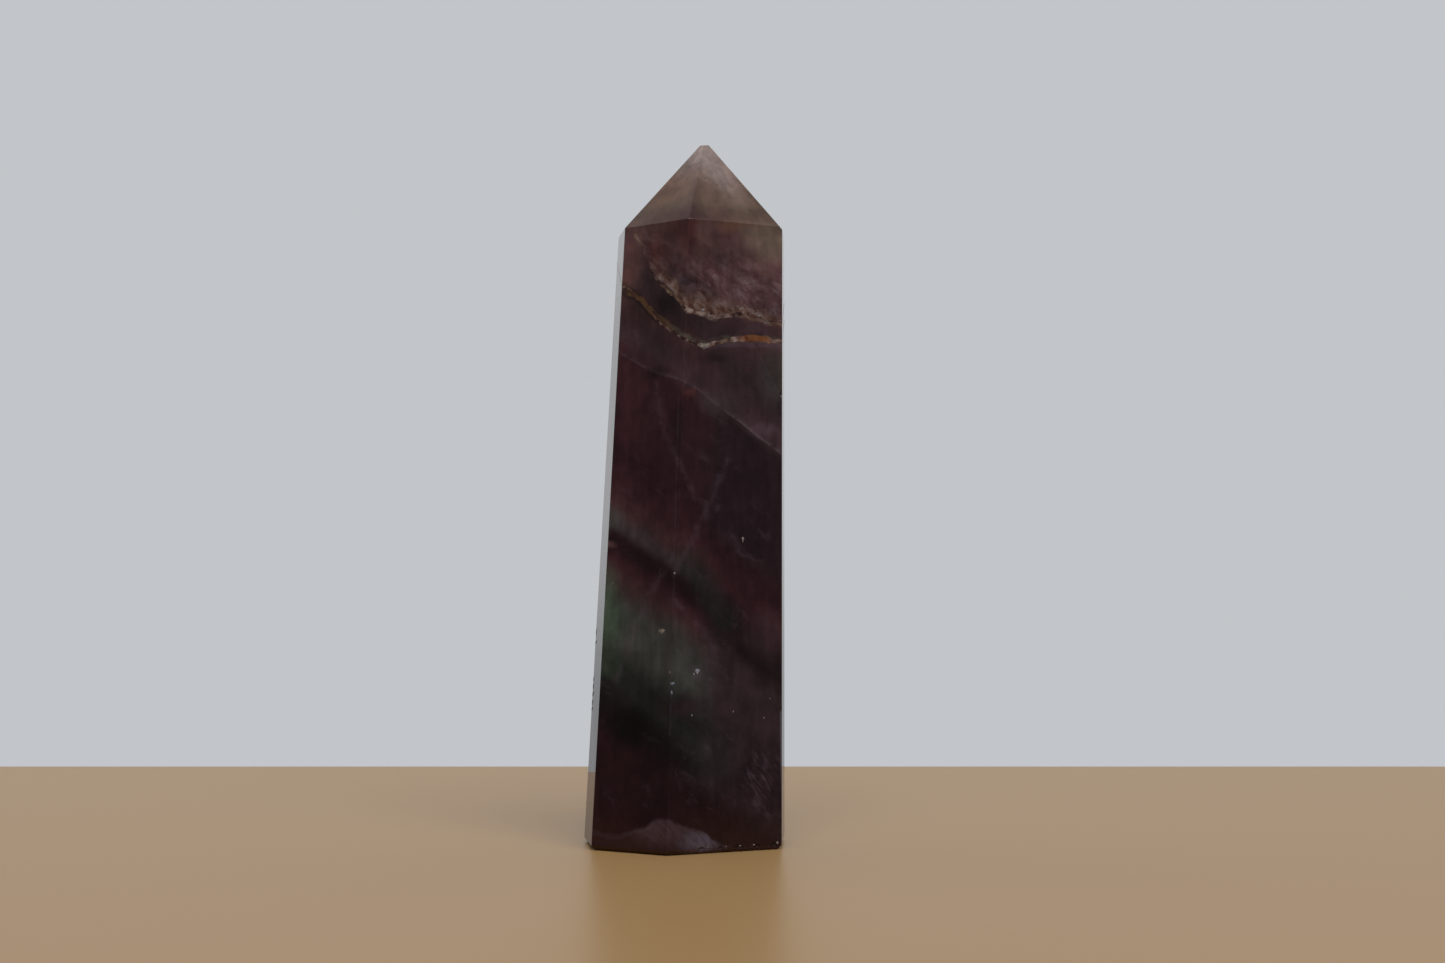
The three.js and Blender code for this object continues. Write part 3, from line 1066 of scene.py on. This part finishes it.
crust, r, surface, _ = new_material("vein crust")
p = r.place_mm()
depth = r.make("ShaderNodeAttribute", attribute_name="depth").outputs["Fac"]
mottle = r.noise(p, 0.8, 6.0, 0.65, 0.6)
inside = r.ramp(mottle, [
    (0.30, screen(92, 58, 56)),
    (0.45, screen(114, 80, 76)),
    (0.58, screen(134, 100, 96)),
    (0.72, screen(160, 130, 124)),
])
grain = r.noise(p, 1.3, 3.0, 0.6)
edge = r.ramp(grain, [
    (0.38, screen(44, 26, 26)),
    (0.48, screen(86, 60, 54)),
    (0.56, screen(122, 94, 84)),
    (0.66, screen(166, 148, 138)),
])
for colour, strength, (px, pz), radii in EDGE_SPOTS:
    spot = r.blob(p, on_front(px, pz), radii, 0.6)
    grainy_strength = r.fade(grain, 0.35, 0.6, 0.3 * strength, strength)
    edge = r.mix(r.times(spot, grainy_strength), edge, colour)
uneven_depth = r.math("ADD", depth, r.times(r.noise(p, 0.6, 3.0), 3.0))
near = r.fade(uneven_depth, INSIDE_FROM, EDGE_UP_TO)
r.put(surface.inputs["Base Color"], r.mix(near, inside, edge))
surface.inputs["Roughness"].default_value = CRUST_ROUGHNESS
polish(surface)
for vein in VEINS:
    vein.data.materials.clear()
    vein.data.materials.append(crust)

# %% [markdown]
# ## Flecks
# Tiny crystals of other minerals are caught in the stone, and the ones at the surface were ground
# flat with it. Geometry Nodes sets one small faceted grain on each point of a list. The points carry
# their own size, turn and shade, so the same tree serves for white flecks, tan grains, the chips
# along the foot and the dark bruises on the left arris. These are helpers to build and run a tree.

# %% helpers for geometry trees
def new_tree(name, sockets):
    """A node group with a geometry in and out, and the named inputs; returns it and a recipe."""
    tree = bpy.data.node_groups.new(name, "GeometryNodeTree")
    tree.interface.new_socket("Geometry", in_out="INPUT", socket_type="NodeSocketGeometry")
    for label, kind in sockets:
        tree.interface.new_socket(label, in_out="INPUT", socket_type=kind)
    tree.interface.new_socket("Geometry", in_out="OUTPUT", socket_type="NodeSocketGeometry")
    return tree, Recipe(tree)


def run_tree(thing, tree, **values):
    """Runs a tree on an object with the given inputs, and leaves a plain mesh."""
    maker = thing.modifiers.new(tree.name, "NODES")
    maker.node_group = tree
    for item in tree.interface.items_tree:
        if item.in_out == "INPUT" and item.name in values:
            maker[item.identifier] = values[item.name]
    return plain_copy(thing)


def named(g, label):
    """A vector that each point carries under this name."""
    node = g.make("GeometryNodeInputNamedAttribute", label, data_type="FLOAT_VECTOR")
    return node.outputs["Attribute"]


# %% a grain on each point
fleck_tree, g = new_tree("set flecks", [("Unevenness", "NodeSocketFloat"), ("Seed", "NodeSocketInt")])
source = g.nodes.new("NodeGroupInput")
points = g.make("GeometryNodeMeshToPoints", source.outputs["Geometry"]).outputs[0]
shape = g.nodes.new("GeometryNodeMeshIcoSphere")
shape.inputs["Radius"].default_value = MM
shape.inputs["Subdivisions"].default_value = 1
uneven = g.make("FunctionNodeRandomValue", data_type="FLOAT_VECTOR")
g.put(uneven.inputs[0], (-1, -1, -1))
g.put(uneven.inputs[1], (1, 1, 1))
g.put(uneven.inputs["Seed"], source.outputs["Seed"])
furthest = g.vec("MULTIPLY", source.outputs["Unevenness"], (MM, MM, MM))
push = g.vec("MULTIPLY", uneven.outputs[0], furthest)
grain_shape = g.nodes.new("GeometryNodeSetPosition")
g.put(grain_shape.inputs["Geometry"], shape.outputs["Mesh"])
g.put(grain_shape.inputs["Offset"], push)
spread = g.nodes.new("GeometryNodeInstanceOnPoints")
g.put(spread.inputs["Points"], points)
g.put(spread.inputs["Instance"], grain_shape.outputs[0])
g.put(spread.inputs["Rotation"], named(g, "turn"))
g.put(spread.inputs["Scale"], named(g, "size"))
real = g.make("GeometryNodeRealizeInstances", spread.outputs[0]).outputs[0]
fleck_material, r, surface, _ = new_material("fleck")
dress = g.nodes.new("GeometryNodeSetMaterial")
g.put(dress.inputs["Geometry"], real)
dress.inputs["Material"].default_value = fleck_material
g.make("NodeGroupOutput", dress.outputs[0])
print("the fleck tree has", len(fleck_tree.nodes), "nodes")

# %% [markdown]
# ## The shades of the flecks
# Each grain has a warmth: 0 is a bluish white, 1 is brown, and 2 is the dark dull inside of a
# bruise. A ramp turns it into a colour, with darker spots on all but the bruises, and the bruises
# are rough, because they are broken and not ground.

# %% colour the flecks
BRUISED = 2.0

p = r.place_mm()
warmth = r.make("ShaderNodeAttribute", attribute_name="warmth").outputs["Fac"]
pale = r.ramp(r.times(warmth, 1 / BRUISED), [
    (0.0, screen(134, 150, 166)),
    (0.2, screen(160, 150, 148)),
    (0.35, screen(148, 132, 112)),
    (0.5, screen(118, 88, 66)),
    (1.0, screen(38, 30, 27)),
])
spots = r.times(r.fade(r.noise(p, 3.0, 2.0), 0.4, 0.65), r.fade(warmth, 1.6, 1.0))
r.put(surface.inputs["Base Color"], r.mix(spots, pale, screen(112, 94, 90)))
r.put(surface.inputs["Roughness"], r.fade(warmth, 1.0, 1.6, 0.3, 1.0))

# %% [markdown]
# ## Where the flecks are
# Each fleck on the front has a row: x and z, half its width, half its height, and its warmth.
# They lie in the veins, in a loose string down the front arris, along the foot, and one on the right
# arris. The bruises lie on the left arris, so a row needs only z and the two half-sizes, and x and y
# are worked out: the arris is the leftmost corner where two faces meet at that height.

# %% list the flecks
FLECKS = [
    (2.2, 59.75, 0.26, 0.2, 0.3), (3.1, 59.1, 0.24, 0.17, 0.35), (6.3, 60.1, 0.2, 0.15, 0.4),
    (8.5, 59.5, 0.16, 0.12, 0.2), (1.2, 60.3, 0.16, 0.14, 0.6), (5.3, 60.1, 0.14, 0.12, 0.5),
    (1.8, 55.8, 0.2, 0.16, 0.4), (2.3, 55.6, 0.24, 0.18, 0.35), (2.9, 55.75, 0.18, 0.14, 0.5),
    (6.6, 34.4, 0.16, 0.32, 0.45), (-0.9, 30.6, 0.12, 0.16, 0.4), (-2.3, 24.3, 0.44, 0.3, 0.65),
    (-1.4, 19.8, 0.16, 0.16, 0.8), (-1.15, 18.6, 0.31, 0.25, 0.0), (-1.2, 17.6, 0.1, 0.3, 0.1),
    (1.6, 19.9, 0.27, 0.32, 0.2), (1.2, 19.6, 0.18, 0.14, 0.25), (5.5, 15.4, 0.1, 0.12, 0.3),
    (9.6, 16.7, 0.14, 0.08, 0.4), (8.9, 14.6, 0.26, 0.06, 0.5), (1.0, 15.1, 0.08, 0.14, 0.3),
    (-7.9, 29.5, 0.08, 0.1, 0.4), (2.7, 0.75, 0.2, 0.1, 0.9), (4.7, 0.7, 0.14, 0.1, 0.7),
    (6.3, 0.7, 0.16, 0.1, 0.6), (7.8, 0.7, 0.14, 0.09, 0.5), (10.4, 0.8, 0.22, 0.14, 0.4),
    (10.98, 50.5, 0.14, 0.2, 0.15),
]
BRUISES = [
    (24.0, 0.9, 0.5), (22.8, 1.3, 0.26), (18.6, 1.0, 0.3), (17.8, 1.05, 0.4), (16.9, 1.25, 0.4),
    (16.0, 1.0, 0.4), (15.2, 1.15, 0.3),
]
BRUISE_DEPTH = 0.12
BRUISE_LEAN = 0.055
NEARLY_PARALLEL = 0.1


def left_arris(z):
    """The point in mm on the leftmost arris at this height."""
    corners = []
    for (n, d), (m, e) in combinations(PLANES, 2):
        cross = n.x * m.y - n.y * m.x
        if abs(cross) > NEARLY_PARALLEL:
            a, b = d - n.z * z, e - m.z * z
            corner = Vector(((a * m.y - b * n.y) / cross, (n.x * b - m.x * a) / cross, z))
            if depth_inside(corner) > -SAME_DISTANCE:
                corners.append(corner)
    return min(corners, key=lambda corner: corner.x)


# %% [markdown]
# ## Grains on the upper vein
# The upper vein also has many small grains that are too even to be worth a row each. A loop
# scatters them along it from a fixed seed, so that they fall in the same places every time.

# %% scatter the vein's grains
GRAIN_SEED = 12
VEIN_GRAINS = 14
GRAINS_FROM = -1.4
GRAIN_SPACING = 0.75

dice = random.Random(GRAIN_SEED)
for i in range(VEIN_GRAINS):
    x = GRAINS_FROM + GRAIN_SPACING * i + dice.uniform(-0.3, 0.3)
    z = along(UPPER_LINE, x) + abs(dice.gauss(0.0, 0.9)) * (1.0 if x > 0.4 else 0.45)
    size = dice.uniform(0.06, 0.13)
    FLECKS.append((x, z, size, size * dice.uniform(0.6, 1.3), dice.uniform(0.5, 1.0)))
print(VEIN_GRAINS, "grains scattered on the upper vein")

# %% [markdown]
# ## Grown and ground
# The rows become a mesh of loose points, the tree sets its grains on them, and then they are ground:
# each vertex that stands out of the crystal is moved back to the face, as the wheel did with the
# real ones. They stay a hair proud, as the veins do.

# %% set and grind the flecks
def fleck_cloud(name, rows):
    """A mesh of loose points; a row is a place in mm, then its size, turn and warmth."""
    mesh = bpy.data.meshes.new(name)
    mesh.from_pydata([Vector(row[0]) * MM for row in rows], [], [])
    for column, label in ((1, "size"), (2, "turn")):
        layer = mesh.attributes.new(label, "FLOAT_VECTOR", "POINT")
        for item, row in zip(layer.data, rows):
            item.vector = row[column]
    layer = mesh.attributes.new("warmth", "FLOAT", "POINT")
    for item, row in zip(layer.data, rows):
        item.value = row[3]
    cloud = bpy.data.objects.new(name, mesh)
    bpy.context.scene.collection.objects.link(cloud)
    return cloud


def grind_flush(thing):
    """Moves what stands out of the crystal back to its faces, as grinding does."""
    for vertex in thing.data.vertices:
        for normal, distance in PLANES:
            over = normal.dot(vertex.co) / MM - (distance + FLUSH)
            if over > 0:
                vertex.co -= normal * over * MM


TURNED_UP_TO = 0.4

rows = []
for x, z, wide, high, warm in FLECKS:
    some_turn = TURNED_UP_TO * math.sin(9 * x)
    rows.append((on_front(x, z), (wide, 0.25 * (wide + high), high), (0.0, 0.0, some_turn), warm))
for z, wide, high in BRUISES:
    rows.append((left_arris(z), (BRUISE_DEPTH, wide, high), (0.0, BRUISE_LEAN, 0.0), BRUISED))
flecks = run_tree(fleck_cloud("flecks", rows), fleck_tree, Unevenness=0.35, Seed=3)
grind_flush(flecks)
print("flecks:", len(rows), "grains,", len(flecks.data.polygons), "faces")

# %% [markdown]
# ## Handing over
# The stone is one rigid thing, so every piece rides on the frame's one body, and the frame's own
# solid is hidden, since the crystal is a copy of it. The core was only a tool, so it goes.

# %% hand over the pieces
bpy.data.objects.remove(CORE)
for piece in (crystal, upper_vein, lower_vein, flecks):
    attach(piece, "root")
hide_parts("fluorite_point")
